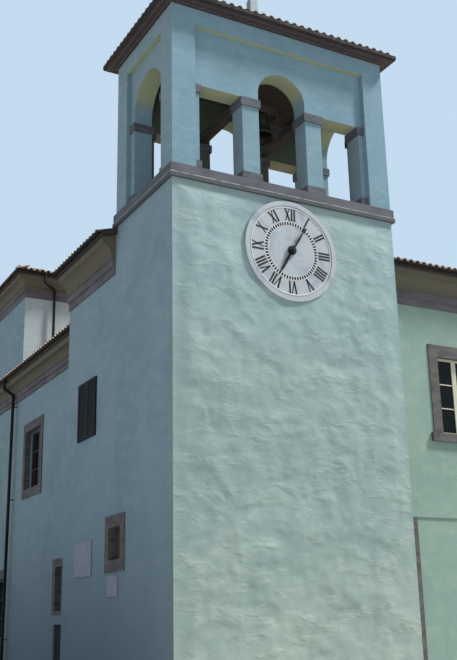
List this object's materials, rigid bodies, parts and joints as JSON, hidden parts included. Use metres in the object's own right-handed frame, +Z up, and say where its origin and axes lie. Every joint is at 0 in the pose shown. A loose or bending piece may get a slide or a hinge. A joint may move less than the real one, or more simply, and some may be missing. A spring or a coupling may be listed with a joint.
{
  "type": "villa with a clock and bell tower",
  "caption": "Rendered villa with a clock and bell tower, a front range of two storeys, a side wing and a taller rear block under tiled roofs.",
  "frame": {"origin": "on the ground under the clock, in the middle of the thickness of the tower's front wall", "axes": "+Z up; -Y the way the clock faces; +X along the front range, away from the tower"},
  "size_m": [25.04, 24.332, 18.546],
  "materials": {
    "tower_plaster": "weathered lime render",
    "house_plaster": "painted lime render",
    "cornice_stucco": "weathered stucco",
    "grey_stone": "weathered grey stone",
    "marble": "honed marble",
    "roof_tile": "weathered clay",
    "dark_timber": "dark stain",
    "door_paint": "old dark paint",
    "window_paint": "white paint",
    "shutter_paint": "brown paint",
    "window_glass": "clear",
    "iron": "black paint",
    "bell_bronze": "dark patina",
    "gutter_metal": "dark paint",
    "floor": "plain"
  },
  "bodies": {
    "root": {"belfry_back_wall": "tower_plaster", "belfry_bases": "grey_stone", "belfry_caps": "grey_stone", "belfry_ceiling": "dark_timber", "belfry_eaves": "dark_timber", "belfry_floor": "floor", "belfry_front_wall": "tower_plaster", "belfry_left_wall": "tower_plaster", "belfry_right_wall": "tower_plaster", "belfry_roof": "roof_tile", "bell_beams": "dark_timber", "bell_bearings": "iron", "clock_arbor": "iron", "clock_dial": "marble", "door_pintles": "iron", "downpipes": "gutter_metal", "ground_floors": "floor", "gutters": "gutter_metal", "range_back_wall": "house_plaster", "range_cornice": "cornice_stucco", "range_front_wall": "house_plaster", "range_left_wall": "house_plaster", "range_right_wall": "house_plaster", "range_roof_back": "roof_tile", "range_roof_behind_tower": "roof_tile", "range_roof_front": "roof_tile", "range_roof_left": "roof_tile", "range_roof_right": "roof_tile", "rear_block_cornice": "cornice_stucco", "rear_block_long_walls": "house_plaster", "rear_block_roof": "roof_tile", "rear_block_side_walls": "house_plaster", "roof_finial": "tower_plaster", "stone_surrounds": "grey_stone", "string_course": "grey_stone", "tower_back_wall": "tower_plaster", "tower_front_wall": "tower_plaster", "tower_left_wall": "tower_plaster", "tower_right_wall": "tower_plaster", "upper_floors": "floor", "wall_plaques": "marble", "window_frames": "window_paint", "window_glass": "window_glass", "window_shutters": "shutter_paint", "wing_cornice": "cornice_stucco", "wing_end_pier": "house_plaster", "wing_left_wall": "house_plaster", "wing_left_wall_foot": "house_plaster", "wing_right_wall": "house_plaster", "wing_roof": "roof_tile"},
    "hour_hand": {"hour_hand": "iron"},
    "minute_hand": {"minute_hand": "iron"},
    "bell": {"bell": "bell_bronze", "bell_yoke": "dark_timber", "bell_clapper": "iron"},
    "service_door": {"service_door": "door_paint"}
  },
  "joints": [
    {"name": "minute_turn", "type": "hinge", "parent": "root", "child": "minute_hand", "pos_m": [0, -0.42, 9.88], "axis": [0, 1, 0], "continuous": true},
    {"name": "hour_turn", "type": "hinge", "parent": "root", "child": "hour_hand", "pos_m": [0, -0.37, 9.88], "axis": [0, 1, 0], "continuous": true},
    {"name": "bell_swing", "type": "hinge", "parent": "root", "child": "bell", "pos_m": [0, 0.82, 13.94], "axis": [1, 0, 0], "range_deg": [-45, 45]},
    {"name": "door_swing", "type": "hinge", "parent": "root", "child": "service_door", "pos_m": [-2.339, 7.551, 0.9], "axis": [0, 0, -1], "range_deg": [0, 90]}
  ],
  "couplings": [
    {"joint": "hour_turn", "follows": "minute_turn", "ratio": 0.083333}
  ]
}
